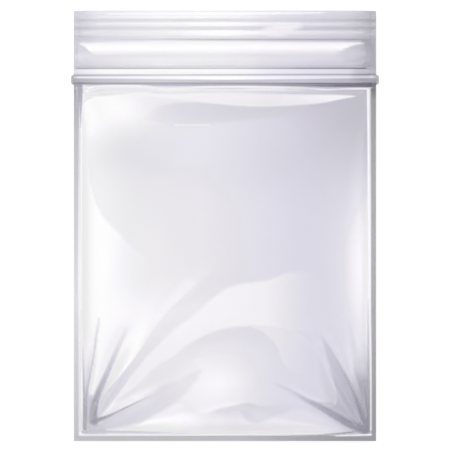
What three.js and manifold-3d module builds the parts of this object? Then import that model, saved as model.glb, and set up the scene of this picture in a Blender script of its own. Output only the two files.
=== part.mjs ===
// A clear reclosable plastic bag, empty and pressed shut, lying on its back.
// Two film panels are heat welded together along both sides and the bottom. Between them, across
// the bag, run two extruded strips that press into each other: a groove strip on the front panel
// and a rib strip on the back panel. Above the strips the panels end in two ribbed lips.
// Millimetres. X runs across the bag, Y up it towards the lips, and Z up from the surface it lies
// on. The origin is under the middle of the film, at the level of that surface.
import * as THREE from "three";
import { mergeVertices } from "three/addons/utils/BufferGeometryUtils.js";
import Module from "manifold-3d";

const wasm = await Module();
wasm.setup();

// Film
const filmWidth = 100;
const filmLength = 142.4;
const filmThickness = 0.1;
const sideWeldWidth = 1.6;
const bottomWeldWidth = 1.7;

// Lips above the zip: ribs to grip, then a smooth band that bulges
const ribCount = 3;
const ribPitch = 3.1;
const ribHeight = 0.35;
const bandLength = 9.6;
const bandBulge = 1.3;
const frontLipLift = 0.9;
const backLipLift = 0.4;
const lipTaper = 3;

// Zip strips: a flange welded to the film, with a rounded bead that hides the catch
const upperFlangeWidth = 2.3;
const lowerFlangeWidth = 0.6;
const flangeThickness = 0.3;
const stripGap = 0.1;
const weldGap = 0.05;
const beadReach = 0.9;
const beadCheek = 0.35;
const roofWall = 0.45;
const floorWall = 0.4;

// The catch inside the bead: two hooked jaws, and an arrow head on a stem that snaps in behind
// them. Depths and drops are measured from the plane of the welds.
const jawWall = 0.45;
const jawDrop = 0.45;
const jawLip = 0.3;
const grooveWidth = 1.7;
const grooveMouthWidth = 1;
const grooveDepth = 0.65;
const headTipWidth = 0.5;
const sideClearance = 0.2;
const clearance = 0.1;

// Air in the pouch: how far each panel stands off the plane of the welds, and how soon
const frontPuff = 8.6;
const frontShoulder = 0.9;
const shoulderRun = 0.9;
const backBelly = 2.3;
const backEdgeRun = 13;
const rampLength = 0.7;
const swellEdgeRun = 26;
const creaseEdgeRun = 3.2;
const leastRise = 0.18;

// How square the swell of each form is: a higher power is fuller, a lower edge falls off later
const pillowAcross = { power: 2.3, edge: 0.75 };
const pillowAlong = { power: 3.2, edge: 0.65 };
const bandForm = { power: 2, edge: 0.8 };
const beadForm = { power: 2.4, edge: 0.45 };

// Creases that fan out of the two bottom corners. from is the start, across and up from the inner
// corner of the welds, and turn is the angle from the bottom weld, in degrees. depth is negative
// for a valley. near and far are half widths at the two ends, and bow is how far the far end bends
// up off the straight line.
const leftCreases = [
  { from: [1.2, 1.6], turn: 83, reach: 34, depth: -0.9, near: 1.2, far: 2.4, bow: 0 },
  { from: [3.2, 3.6], turn: 70, reach: 38, depth: -1.7, near: 1.3, far: 3, bow: -3 },
  { from: [5.6, 6.2], turn: 58, reach: 56, depth: 1.3, near: 1.8, far: 5, bow: 0 },
  { from: [3.2, 2.8], turn: 27, reach: 42, depth: -1.5, near: 1.2, far: 3.6, bow: 1.5 },
  { from: [6, 1.4], turn: 12, reach: 44, depth: 0.8, near: 1.6, far: 4, bow: 2 },
];
const rightCreases = [
  { from: [0.6, 1.2], turn: 80, reach: 26, depth: -1.1, near: 1.1, far: 2, bow: 0 },
  { from: [1.6, 3.8], turn: 72, reach: 30, depth: 0.9, near: 1.1, far: 2.4, bow: 0 },
  { from: [2.4, 2.6], turn: 62, reach: 42, depth: -1.9, near: 1.3, far: 3.2, bow: 2 },
  { from: [3, 1.2], turn: 29, reach: 40, depth: -1.7, near: 1.2, far: 3.6, bow: -1 },
  { from: [6, 1.2], turn: 10, reach: 40, depth: 0.8, near: 1.5, far: 4, bow: 2 },
];

// Broad soft swellings of the front panel, placed from the middle of the pouch. size is the half
// width across and along, before the swelling is turned by tilt degrees.
const swellings = [
  { at: [2, -46], size: [15, 10], tilt: 8, rise: 1.2 },
  { at: [-14, -13], size: [34, 7], tilt: 24, rise: 0.8 },
  { at: [26, -8], size: [7, 40], tilt: 8, rise: -0.7 },
  { at: [-24, 30], size: [20, 12], tilt: 20, rise: 0.6 },
];

// Fineness of the panels. The grid of a pouch is finest along the welds, where the creases are
// narrow, and each step towards the middle is longer than the last by the same share.
const frontGrid = { shoulders: [0.6, 1.6, 3.2], firstStep: 1.3, growth: 1.09, widestStep: 5.5 };
const backGrid = { shoulders: [1.8], firstStep: 2.6, growth: 1.25, widestStep: 8 };
const headerStep = 14;
const bandSteps = 6;
const stepsPerRib = 4;
const beadSteps = 8;
const curveSegments = 4;
const slopeProbe = 0.15;
const steepestSlope = 3;
const sameSpot = 1e-6;
const mergeDistance = 1e-4;

// Sizes of the zip that follow from the ones above
const jawHalf = grooveWidth / 2 + jawWall;
const beadWidth = 2 * (jawHalf + beadCheek);
const stemWidth = grooveMouthWidth - 2 * sideClearance;
const headWidth = grooveWidth - 2 * sideClearance;
const flangeRise = stripGap / 2 + flangeThickness;
const grooveCrown = Math.max(flangeRise, grooveDepth + roofWall);
const ribCrown = Math.max(flangeRise, jawDrop + clearance + floorWall);

// Places along the bag
const halfWidth = filmWidth / 2;
const topEdge = filmLength / 2;
const bottomEdge = -filmLength / 2;
const ribsBottom = topEdge - ribCount * ribPitch;
const flangeTop = ribsBottom - bandLength;
const beadTop = flangeTop - upperFlangeWidth;
const beadBottom = beadTop - beadWidth;
const beadMiddle = (beadTop + beadBottom) / 2;
const flangeBottom = beadBottom - lowerFlangeWidth;
const rampBottom = flangeBottom - rampLength;
const pouchHalfWidth = halfWidth - sideWeldWidth;
const pouchTop = flangeBottom;
const pouchBottom = bottomEdge + bottomWeldWidth;
const pouchMiddle = (pouchTop + pouchBottom) / 2;
const pouchHalfLength = (pouchTop - pouchBottom) / 2;

// The bag lies on the deepest part of its back panel
const backDeepest = Math.max(backBelly, bandBulge, backLipLift + ribHeight, ribCrown + weldGap);
const weldLevel = backDeepest + filmThickness;

function clamp01(value) {
  return Math.min(1, Math.max(0, value));
}

// 0 at the edge of a weld, and soon 1 inside it
function shoulderShare(distance) {
  return 1 - Math.exp(-Math.max(0, distance) / shoulderRun);
}

// 0 at the edge, 1 from run onwards, with no kink where it flattens
function easedShare(distance, run) {
  const left = 1 - clamp01(distance / run);
  return 1 - left * left;
}

// 1 in the middle and 0 at position -1 and 1
function swellShare(position, form) {
  return Math.max(0, 1 - Math.abs(position) ** form.power) ** form.edge;
}

// Distances from a point to the inner edges of the side welds, the bottom weld and the zip
function distancesInside(x, y) {
  return [pouchHalfWidth - Math.abs(x), y - pouchBottom, pouchTop - y];
}

// How far the outer face of a zip strip stands off the plane of the welds
function stripRise(y, crown) {
  const across = (y - beadMiddle) / (beadWidth / 2);
  return flangeRise + (crown - flangeRise) * swellShare(across, beadForm);
}

// The film follows the strip and slopes back to the plane of the welds just past its edges
function filmOverStrip(y, crown) {
  const past = Math.max(y - flangeTop, flangeBottom - y, 0);
  return (stripRise(y, crown) + weldGap) * (1 - clamp01(past / rampLength));
}

function ribShare(y) {
  const down = topEdge - y;
  if (down > ribCount * ribPitch) return 0;
  return (1 - Math.cos((2 * Math.PI * down) / ribPitch)) / 2;
}

// The lips stand apart a little towards the mouth, and bulge between the ribs and the zip
function lipRise(x, y, lift) {
  const side = Math.sin((clamp01((pouchHalfWidth - Math.abs(x)) / lipTaper) * Math.PI) / 2);
  const bandMiddle = (flangeTop + ribsBottom) / 2;
  const bulge = bandBulge * swellShare((y - bandMiddle) / (bandLength / 2), bandForm);
  const mouth = lift * clamp01((y - ribsBottom) / (topEdge - ribsBottom));
  return side * Math.max(bulge, mouth);
}

function creaseRise(x, y, crease, side) {
  const across = pouchHalfWidth - side * x - crease.from[0];
  const up = y - pouchBottom - crease.from[1];
  const angle = THREE.MathUtils.degToRad(crease.turn);
  const share = (across * Math.cos(angle) + up * Math.sin(angle)) / crease.reach;
  if (share <= 0 || share >= 1) return 0;
  const off = up * Math.cos(angle) - across * Math.sin(angle) - crease.bow * share * share;
  const width = crease.near + (crease.far - crease.near) * share;
  return crease.depth * Math.sin(Math.PI * Math.sqrt(share)) * Math.exp(-((off / width) ** 2));
}

function allCreases(x, y) {
  const left = leftCreases.reduce((sum, crease) => sum + creaseRise(x, y, crease, -1), 0);
  const right = rightCreases.reduce((sum, crease) => sum + creaseRise(x, y, crease, 1), 0);
  return left + right;
}

function swellingRise(x, y, swelling) {
  const angle = THREE.MathUtils.degToRad(swelling.tilt);
  const dx = x - swelling.at[0];
  const dy = y - pouchMiddle - swelling.at[1];
  const across = (dx * Math.cos(angle) + dy * Math.sin(angle)) / swelling.size[0];
  const along = (dy * Math.cos(angle) - dx * Math.sin(angle)) / swelling.size[1];
  return swelling.rise * Math.exp(-across * across - along * along);
}

// Height of the inner face of the front panel above the plane of the welds
function frontRise(x, y) {
  const distances = distancesInside(x, y);
  const nearest = Math.min(...distances);
  const outline = filmOverStrip(y, grooveCrown) + lipRise(x, y, frontLipLift);
  if (nearest <= 0) return outline;
  const shoulder = distances.reduce((share, distance) => share * shoulderShare(distance), 1);
  const across = swellShare(x / pouchHalfWidth, pillowAcross);
  const along = swellShare((y - pouchMiddle) / pouchHalfLength, pillowAlong);
  const swell = swellings.reduce((sum, swelling) => sum + swellingRise(x, y, swelling), 0);
  const puff = frontPuff * across * along + swell * easedShare(nearest, swellEdgeRun);
  const creases = allCreases(x, y) * easedShare(nearest, creaseEdgeRun);
  return outline + Math.max(frontShoulder * shoulder + puff + creases, leastRise * shoulder);
}

// Depth of the inner face of the back panel below the plane of the welds: flat in the middle
function backDepth(x, y) {
  const distances = distancesInside(x, y);
  const outline = filmOverStrip(y, ribCrown) + lipRise(x, y, backLipLift);
  if (Math.min(...distances) <= 0) return outline;
  const belly = distances.reduce((share, run) => share * easedShare(run, backEdgeRun), 1);
  return Math.max(outline, backBelly * belly);
}

// How much taller a sheet of even thickness is on the slope at a point than on the flat
function slopeShare(heightAt, x, y) {
  const acrossRise = heightAt(x + slopeProbe, y) - heightAt(x - slopeProbe, y);
  const alongRise = heightAt(x, y + slopeProbe) - heightAt(x, y - slopeProbe);
  const run = 2 * slopeProbe;
  return Math.min(steepestSlope, Math.hypot(1, acrossRise / run, alongRise / run));
}

// Numbers from start to end, both included, no further apart than step
function evenly(start, end, step) {
  const count = Math.max(1, Math.ceil(Math.abs(end - start) / step - sameSpot));
  return Array.from({ length: count + 1 }, (_, i) => start + ((end - start) * i) / count);
}

// Numbers from start to end, both included, further and further apart
function growing(start, end, grid) {
  const places = [start];
  const way = Math.sign(end - start);
  let step = grid.firstStep;
  while (Math.abs(end - places.at(-1)) > 1.5 * step) {
    places.push(places.at(-1) + way * step);
    step = Math.min(step * grid.growth, grid.widestStep);
  }
  return [...places, end];
}

function ascending(values) {
  const sorted = [...values].sort((a, b) => a - b);
  return sorted.filter((value, i) => i === 0 || value - sorted[i - 1] > sameSpot);
}

// Close lines beside a weld, where the film turns up steeply
function shoulderLines(edge, inwards, grid) {
  return [edge, ...grid.shoulders.map((share) => edge + inwards * share * shoulderRun)];
}

function pouchColumns(grid) {
  const left = shoulderLines(-pouchHalfWidth, 1, grid);
  const half = [-halfWidth, ...left, ...growing(left.at(-1), 0, grid)];
  return ascending([...half, ...half.map((x) => -x)]);
}

function pouchRows(grid) {
  const low = shoulderLines(pouchBottom, 1, grid);
  const high = shoulderLines(rampBottom, -1, grid);
  return ascending([bottomEdge, ...low, ...growing(low.at(-1), high.at(-1), grid), ...high]);
}

function headerColumns() {
  const inner = pouchHalfWidth - lipTaper;
  const edges = [halfWidth, pouchHalfWidth, (pouchHalfWidth + inner) / 2];
  return ascending([...edges, ...edges.map((x) => -x), ...evenly(-inner, inner, headerStep)]);
}

// Places across the zip where the rounded bead has its corners
function beadLines() {
  const turns = evenly(0, Math.PI, Math.PI / beadSteps);
  return turns.map((turn) => beadMiddle - (Math.cos(turn) * beadWidth) / 2);
}

function headerRows() {
  const strip = [rampBottom, flangeBottom, ...beadLines(), flangeTop];
  const band = evenly(flangeTop + rampLength, ribsBottom, bandLength / bandSteps);
  const ribs = evenly(ribsBottom, topEdge, ribPitch / stepsPerRib);
  return ascending([...strip, ...band, ...ribs]);
}

// Rows of the grid from the bottom of the bag to the lips. The pouch has more columns.
function filmRows(grid) {
  const fine = pouchColumns(grid);
  const coarse = headerColumns();
  const pouch = pouchRows(grid).filter((y) => y < rampBottom - sameSpot);
  return [
    ...pouch.map((y) => ({ y, xs: fine })),
    ...headerRows().map((y) => ({ y, xs: coarse })),
  ];
}

// Triangles between two neighbouring rows of points, seen from above. Where both rows have the
// same columns, the diagonals lean away from the nearest bottom corner, as the creases do.
function stitch(lower, upper, lowerXs, upperXs) {
  const faces = [];
  let i = 0;
  let j = 0;
  while (i < lower.length - 1 || j < upper.length - 1) {
    const nextLower = i < lower.length - 1 ? lowerXs[i + 1] : Infinity;
    const nextUpper = j < upper.length - 1 ? upperXs[j + 1] : Infinity;
    if (nextUpper < nextLower || (nextUpper === nextLower && nextUpper <= 0)) {
      faces.push([lower[i], upper[j + 1], upper[j]]);
      j += 1;
    } else {
      faces.push([lower[i], lower[i + 1], upper[j]]);
      i += 1;
    }
  }
  return faces;
}

// Adds the points of one face of a sheet to a list of coordinates, and numbers them row by row
function layerPoints(rows, heightAt, points) {
  return rows.map(({ y, xs }) => xs.map((x) => points.push(x, y, heightAt(x, y)) / 3 - 1));
}

// The rim of a layer, counter-clockwise seen from above, back to where it started
function rimOf(layer) {
  const right = layer.slice(1).map((row) => row.at(-1));
  const top = layer.at(-1).slice(0, -1).reverse();
  const left = layer.slice(0, -1).map((row) => row[0]);
  return [...layer[0], ...right, ...top, ...left.reverse()];
}

function indexedGeometry(points, faces) {
  const geometry = new THREE.BufferGeometry();
  geometry.setAttribute("position", new THREE.Float32BufferAttribute(points, 3));
  geometry.setIndex(faces);
  geometry.computeVertexNormals();
  return geometry;
}

// A closed sheet over the rows, between the surfaces z = under(x, y) and z = over(x, y)
function sheetGeometry(rows, under, over) {
  const points = [];
  const low = layerPoints(rows, under, points);
  const high = layerPoints(rows, over, points);
  const faces = [];
  for (let r = 0; r + 1 < rows.length; r++) {
    faces.push(...stitch(high[r], high[r + 1], rows[r].xs, rows[r + 1].xs));
    const below = stitch(low[r], low[r + 1], rows[r].xs, rows[r + 1].xs);
    faces.push(...below.map(([a, b, c]) => [a, c, b]));
  }
  const lowRim = rimOf(low);
  const highRim = rimOf(high);
  for (let i = 0; i + 1 < lowRim.length; i++) {
    faces.push([lowRim[i], lowRim[i + 1], highRim[i + 1]]);
    faces.push([lowRim[i], highRim[i + 1], highRim[i]]);
  }
  return indexedGeometry(points, faces.flat());
}

// The thickness of a lip is measured square to it, and its ribs stand up from that
function filmHeight(heightAt, x, y) {
  return filmThickness * slopeShare(heightAt, x, y) + ribHeight * ribShare(y);
}

function frontFilm() {
  const under = (x, y) => weldLevel + frontRise(x, y);
  const over = (x, y) => under(x, y) + filmHeight(frontRise, x, y);
  return sheetGeometry(filmRows(frontGrid), under, over);
}

function backFilm() {
  const over = (x, y) => weldLevel - backDepth(x, y);
  const under = (x, y) => over(x, y) - filmHeight(backDepth, x, y);
  return sheetGeometry(filmRows(backGrid), under, over);
}

// A closed mesh as a solid that can be cut
function solidOf(geometry) {
  const bare = geometry.clone();
  bare.deleteAttribute("normal");
  bare.deleteAttribute("uv");
  const merged = mergeVertices(bare, mergeDistance);
  const vertProperties = new Float32Array(merged.attributes.position.array);
  const triVerts = new Uint32Array(merged.index.array);
  return new wasm.Manifold(new wasm.Mesh({ numProp: 3, vertProperties, triVerts }));
}

function geometryOf(solid) {
  const mesh = solid.getMesh();
  return indexedGeometry(mesh.vertProperties, [...mesh.triVerts]);
}

// A profile of [y, z] points run along X, centred on the middle of the bag
function alongBag(profile, length) {
  const shape = new THREE.Shape(profile.map(([y, z]) => new THREE.Vector2(y, z)));
  const geometry = new THREE.ExtrudeGeometry(shape, { depth: length, bevelEnabled: false });
  geometry.translate(0, 0, -length / 2);
  const turned = new THREE.Matrix4().makeBasis(
    new THREE.Vector3(0, 1, 0),
    new THREE.Vector3(0, 0, 1),
    new THREE.Vector3(1, 0, 0),
  );
  return geometry.applyMatrix4(turned);
}

// A rectangle with round corners, as wide as reach to both sides, from low to high
function roundedShape(reach, low, high, round) {
  const shape = new THREE.Shape();
  shape.moveTo(-reach + round, low);
  shape.absarc(reach - round, low + round, round, -Math.PI / 2, 0, false);
  shape.absarc(reach - round, high - round, round, 0, Math.PI / 2, false);
  shape.absarc(-reach + round, high - round, round, Math.PI / 2, Math.PI, false);
  shape.absarc(-reach + round, low + round, round, Math.PI, 1.5 * Math.PI, false);
  return shape;
}

// A block with round ends seen from above, between the rows from and to, thicker than the zip
function planBlock(reach, from, to, round) {
  const options = { depth: 4 * weldLevel, bevelEnabled: false, curveSegments };
  const geometry = new THREE.ExtrudeGeometry(roundedShape(reach, from, to, round), options);
  return solidOf(geometry.translate(0, 0, -weldLevel));
}

// A block with round ends seen from the side, longer than the strips are wide
function sideBlock(reach, low, high, round) {
  const depth = flangeTop - flangeBottom + 2 * beadWidth;
  const options = { depth, bevelEnabled: false, curveSegments };
  const geometry = new THREE.ExtrudeGeometry(roundedShape(reach, low, high, round), options);
  geometry.rotateX(Math.PI / 2);
  return solidOf(geometry.translate(0, beadMiddle + depth / 2, 0));
}

// The flanges end with the film. The bead runs on past it to a rounded nub on each side, where
// the strips were melted through when the bag was cut.
function cutStrip(profile) {
  const reach = halfWidth + beadReach;
  const low = weldLevel - ribCrown - clearance;
  const high = weldLevel + grooveCrown + clearance;
  const planRound = Math.min(beadReach, beadWidth / 2 - clearance);
  const sideRound = Math.min(beadReach, (high - low) / 2 - clearance);
  const film = planBlock(halfWidth, flangeBottom - beadWidth, flangeTop + beadWidth, planRound);
  const bead = planBlock(reach, beadBottom, beadTop, planRound);
  const raw = solidOf(alongBag(profile, 2 * reach + 2 * beadReach));
  return geometryOf(raw.intersect(film.add(bead)).intersect(sideBlock(reach, low, high, sideRound)));
}

// Points along the outer face of a strip, from its lower to its upper edge. up is 1 on the front.
function outerFace(up, crown) {
  const lines = [flangeBottom, ...beadLines(), flangeTop];
  return lines.map((y) => [y, weldLevel + up * stripRise(y, crown)]);
}

// Half of a catch, as points measured from the middle of the bead, and its mirror image, out to
// the edges of the two flanges
function wholeCatch(half) {
  const face = half[0][1];
  const other = half.map(([across, z]) => [-across, z]).reverse();
  const inner = [...half, ...other].map(([across, z]) => [beadMiddle + across, z]);
  return [[flangeBottom, face], ...inner, [flangeTop, face]];
}

// The groove strip: two hooked jaws that face the back panel
function grooveStrip() {
  const face = weldLevel + stripGap / 2;
  const jawEnd = weldLevel - jawDrop;
  const hookTop = jawEnd + jawLip;
  const roof = Math.max(hookTop, weldLevel + grooveDepth);
  const roofEdge = Math.max(hookTop, roof - (headWidth - headTipWidth) / 2);
  const half = [
    [-jawHalf, face],
    [-jawHalf, jawEnd],
    [-grooveMouthWidth / 2, jawEnd],
    [-grooveMouthWidth / 2, hookTop],
    [-grooveWidth / 2, hookTop],
    [-grooveWidth / 2, roofEdge],
    [-headTipWidth / 2 - clearance, roof],
  ];
  return cutStrip([...outerFace(1, grooveCrown).reverse(), ...wholeCatch(half)]);
}

// The rib strip: a stem with an arrow head that has snapped in behind the hooks
function ribStrip() {
  const face = weldLevel - stripGap / 2;
  const floor = weldLevel - jawDrop - clearance;
  const headBottom = weldLevel - jawDrop + jawLip + clearance;
  const headTop = weldLevel + grooveDepth - clearance;
  const half = [
    [-jawHalf - clearance, face],
    [-jawHalf - clearance, floor],
    [-stemWidth / 2, floor],
    [-stemWidth / 2, headBottom],
    [-headWidth / 2, headBottom],
    [-headTipWidth / 2, headTop],
  ];
  return cutStrip([...outerFace(-1, ribCrown).reverse(), ...wholeCatch(half)]);
}

function clearPlastic(color, opacity, roughness) {
  return new THREE.MeshStandardMaterial({
    color,
    roughness,
    metalness: 0,
    transparent: true,
    opacity,
    side: THREE.DoubleSide,
  });
}

function piece(name, geometry, material) {
  const mesh = new THREE.Mesh(geometry, material);
  mesh.name = name;
  return mesh;
}

const bag = new THREE.Group();
bag.name = "zipper_bag";
bag.add(
  piece("front_film", frontFilm(), clearPlastic(0xe4e3ea, 0.4, 0.16)),
  piece("back_film", backFilm(), clearPlastic(0xdedde5, 0.4, 0.18)),
  piece("groove_strip", grooveStrip(), clearPlastic(0xd0d0d8, 0.6, 0.22)),
  piece("rib_strip", ribStrip(), clearPlastic(0xcacad3, 0.6, 0.22)),
);

export default bag;
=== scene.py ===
import math

import bpy
import numpy as np
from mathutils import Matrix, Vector


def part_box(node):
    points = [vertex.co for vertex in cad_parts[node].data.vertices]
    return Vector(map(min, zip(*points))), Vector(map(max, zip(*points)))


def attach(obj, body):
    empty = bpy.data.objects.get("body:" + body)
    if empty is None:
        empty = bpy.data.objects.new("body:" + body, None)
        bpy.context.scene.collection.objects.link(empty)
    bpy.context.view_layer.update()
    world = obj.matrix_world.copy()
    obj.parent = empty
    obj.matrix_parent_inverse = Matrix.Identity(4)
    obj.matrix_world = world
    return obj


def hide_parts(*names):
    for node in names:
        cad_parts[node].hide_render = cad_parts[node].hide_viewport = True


# A clear press-shut bag of two welded film panels, lying on its back and seen from straight above.
# Lengths are millimetres until a mesh is made. X runs across the bag, Y up it towards the lips,
# and Z up from the surface that it lies on.
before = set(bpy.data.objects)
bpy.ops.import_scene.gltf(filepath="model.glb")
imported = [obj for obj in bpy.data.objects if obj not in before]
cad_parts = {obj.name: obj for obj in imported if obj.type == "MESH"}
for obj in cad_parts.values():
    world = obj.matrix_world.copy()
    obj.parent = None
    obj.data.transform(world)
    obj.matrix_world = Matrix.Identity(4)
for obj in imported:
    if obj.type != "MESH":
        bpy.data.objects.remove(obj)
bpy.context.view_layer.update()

METRES = 0.001

# How the bag lies in the photograph: pixels run right and down from the top left corner
PHOTO_SIDE = 450
MM_PER_PIXEL = 0.33113
MIDDLE_U = 225
MIDDLE_V = 226

# Film and welds
film_low, film_high = (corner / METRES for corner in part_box("front_film"))
HALF_WIDTH = film_high.x
TOP_EDGE = film_high.y
BOTTOM_EDGE = film_low.y
FILM_THICKNESS = 0.1
SIDE_WELD = 1.6
BOTTOM_WELD = 1.7

# Lips, zip and pouch, as the solids have them
RIB_COUNT = 3
RIB_PITCH = 3.1
RIB_HEIGHT = 0.35
BAND_LENGTH = 9.6
BAND_BULGE = 1.3
FRONT_LIP_LIFT = 0.9
BACK_LIP_LIFT = 0.4
LIP_TAPER = 3
LIP_EDGE = 1
UPPER_FLANGE = 2.3
LOWER_FLANGE = 0.6
FLANGE_RISE = 0.35
WELD_GAP = 0.05
BEAD_WIDTH = 3.3
GROOVE_CROWN = 1.1
RIB_CROWN = 0.95
RAMP_LENGTH = 0.7
WELD_LEVEL = 2.4
FRONT_PUFF = 8.6
FRONT_SHOULDER = 0.9
SHOULDER_RUN = 0.9
BACK_BELLY = 2.3
BACK_EDGE_RUN = 13
SWELL_EDGE_RUN = 26
CREASE_EDGE_RUN = 3.2
LEAST_RISE = 0.18
SIDE_LEDGE = 1
BOTTOM_LEDGE = 0.8
TOP_LEDGE = 0.5
LEDGE_SLOPE = 0.1
SOFT_SHOULDER = 0.4
FACE_GAP = 0.02
SHARP_ANGLE = 70
SLOPE_PROBE = 0.15
STEEPEST = 3
PILLOW_ACROSS = {"power": 2.3, "edge": 0.75}
PILLOW_ALONG = {"power": 3.2, "edge": 0.65}
BAND_FORM = {"power": 2, "edge": 0.8}
BEAD_FORM = {"power": 2.4, "edge": 0.45}

LEFT_CREASES = [
    {"start": (1.2, 1.6), "turn": 83, "reach": 34, "depth": -0.9, "near": 1.2, "far": 2.4, "bow": 0},
    {"start": (3.2, 3.6), "turn": 70, "reach": 38, "depth": -1.7, "near": 1.3, "far": 3, "bow": -3},
    {"start": (5.6, 6.2), "turn": 58, "reach": 56, "depth": 1.3, "near": 1.8, "far": 5, "bow": 0},
    {"start": (3.2, 2.8), "turn": 27, "reach": 42, "depth": -1.5, "near": 1.2, "far": 3.6, "bow": 1.5},
    {"start": (6, 1.4), "turn": 12, "reach": 44, "depth": 0.8, "near": 1.6, "far": 4, "bow": 2},
]
RIGHT_CREASES = [
    {"start": (0.6, 1.2), "turn": 80, "reach": 26, "depth": -1.1, "near": 1.1, "far": 2, "bow": 0},
    {"start": (1.6, 3.8), "turn": 72, "reach": 30, "depth": 0.9, "near": 1.1, "far": 2.4, "bow": 0},
    {"start": (2.4, 2.6), "turn": 62, "reach": 42, "depth": -1.9, "near": 1.3, "far": 3.2, "bow": 2},
    {"start": (3, 1.2), "turn": 29, "reach": 40, "depth": -1.7, "near": 1.2, "far": 3.6, "bow": -1},
    {"start": (6, 1.2), "turn": 10, "reach": 40, "depth": 0.8, "near": 1.5, "far": 4, "bow": 2},
]
SWELLINGS = [
    {"at": (2, -46), "size": (15, 10), "tilt": 8, "rise": 1.2},
    {"at": (-14, -13), "size": (34, 7), "tilt": 24, "rise": 0.8},
    {"at": (26, -8), "size": (7, 40), "tilt": 8, "rise": -0.7},
    {"at": (-24, 30), "size": (20, 12), "tilt": 20, "rise": 0.6},
]

RIBS_BOTTOM = TOP_EDGE - RIB_COUNT * RIB_PITCH
FLANGE_TOP = RIBS_BOTTOM - BAND_LENGTH
BAND_MIDDLE = (FLANGE_TOP + RIBS_BOTTOM) / 2
BEAD_TOP = FLANGE_TOP - UPPER_FLANGE
BEAD_BOTTOM = BEAD_TOP - BEAD_WIDTH
BEAD_MIDDLE = (BEAD_TOP + BEAD_BOTTOM) / 2
POUCH_TOP = BEAD_BOTTOM - LOWER_FLANGE
RAMP_BOTTOM = POUCH_TOP - RAMP_LENGTH
POUCH_BOTTOM = BOTTOM_EDGE + BOTTOM_WELD
POUCH_HALF_WIDTH = HALF_WIDTH - SIDE_WELD
POUCH_MIDDLE = (POUCH_TOP + POUCH_BOTTOM) / 2
POUCH_HALF_LENGTH = (POUCH_TOP - POUCH_BOTTOM) / 2

# A panel is made in blocks of rows, each up to its top. How far apart the points are is given by
# distance from the middle for columns, and by place along the bag for rows.
JOIN_STEP = 0.25
HEADER_BLOCK = {
    "top": TOP_EDGE,
    "columns": ([0, 36, 44, 50], [2.4, 2.4, 0.8, 0.4]),
    "rows": ([45, 53, 54, 61, 62, 72], [0.18, 0.18, 0.3, 0.3, 0.2, 0.2]),
}
FRONT_BLOCKS = [
    {
        "top": -34,
        "columns": ([0, 14, 17, 45, 46, 50], [0.8, 0.8, 0.44, 0.44, 0.24, 0.24]),
        "rows": ([-71, -66, -65], [0.24, 0.24, 0.44]),
    },
    {
        "top": RAMP_BOTTOM - JOIN_STEP,
        "columns": ([0, 18, 22, 43, 46, 50], [1.15, 1.15, 0.68, 0.68, 0.25, 0.25]),
        "rows": ([-34, 30, 38, 42, 46], [0.66, 0.66, 0.4, 0.22, 0.2]),
    },
    HEADER_BLOCK,
]
BACK_BLOCKS = [
    {
        "top": RAMP_BOTTOM - JOIN_STEP,
        "columns": ([0, 44, 50], [1.3, 1.1, 0.5]),
        "rows": ([-71, -66, -60, 36, 46], [0.5, 0.6, 1.2, 1.2, 0.5]),
    },
    HEADER_BLOCK,
]

# Fine folds of the front panel, as paths across the photograph. rise is in millimetres, and half
# is how far it reaches to each side, at the start and the end.
FOLDS = [
    {"path": [(84, 428), (83.4, 385), (82.4, 357)], "rise": -0.2, "half": (0.8, 0.8)},
    {"path": [(85.5, 427), (89, 380), (98, 334)], "rise": -0.25, "half": (0.8, 1)},
    {"path": [(92, 424), (98, 396), (110, 370), (127, 330)], "rise": -0.4, "half": (1, 1.6)},
    {"path": [(95, 421), (123, 407), (150, 395)], "rise": -0.25, "half": (0.9, 1)},
    {"path": [(102, 410), (126, 374), (165, 322), (204, 288)], "rise": 0.25, "half": (1, 3)},
    {
        "path": [(140, 396), (178, 372), (208, 345), (240, 340), (266, 350), (278, 385)],
        "rise": 0.25, "half": (2, 3.4),
    },
    {"path": [(206, 412), (236, 408), (262, 415), (284, 405)], "rise": -0.2, "half": (1.6, 1.6)},
    {"path": [(281, 387), (304, 399), (335, 415), (363, 430)], "rise": -0.4, "half": (1, 1.2)},
    {"path": [(321, 335), (338, 362), (355, 390), (366, 422)], "rise": -0.4, "half": (1, 1.2)},
    {"path": [(336, 352), (345, 385), (350, 416)], "rise": 0.2, "half": (1.2, 1.6)},
    {"path": [(362, 374), (367, 400), (370, 424)], "rise": -0.2, "half": (0.8, 0.9)},
]

# How soon a fold reaches its full height, and how softly both its ends fade
FOLD_FADE = {"start": 0.8, "ends": 1.5}

# Where the front panel turns up from the lower edge of the zip
ZIP_WAVE = ([78, 87, 99, 139, 170, 196, 260, 325, 372], [89, 91, 87, 87, 90.4, 89.2, 88.9, 90, 89.6])
ZIP_WAVE_LEVEL = 88


def photo_u(x):
    return x / MM_PER_PIXEL + MIDDLE_U


def photo_v(y):
    return MIDDLE_V - y / MM_PER_PIXEL


def clamp01(value):
    return np.clip(value, 0, 1)


def smooth_step(low, high, value):
    share = clamp01((value - low) / (high - low))
    return share * share * (3 - 2 * share)


def shoulder_share(distance):
    return 1 - np.exp(-np.maximum(0, distance) / SHOULDER_RUN)


def eased_share(distance, run):
    left = 1 - clamp01(distance / run)
    return 1 - left * left


def swell_share(position, form):
    return np.maximum(0, 1 - np.abs(position) ** form["power"]) ** form["edge"]


def smooth_path(points, steps=8):
    """A curve through all the points, as many short straight steps."""
    places = np.array(points, float)
    ends = np.vstack([2 * places[0] - places[1], places, 2 * places[-1] - places[-2]])
    t = np.linspace(0, 1, steps, endpoint=False)[:, None]
    spans = [
        (2 * b + (c - a) * t + (2 * a - 5 * b + 4 * c - d) * t**2 + (3 * b - a - 3 * c + d) * t**3) / 2
        for a, b, c, d in zip(ends, ends[1:], ends[2:], ends[3:])
    ]
    return np.vstack([*spans, places[-1:]])


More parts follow.
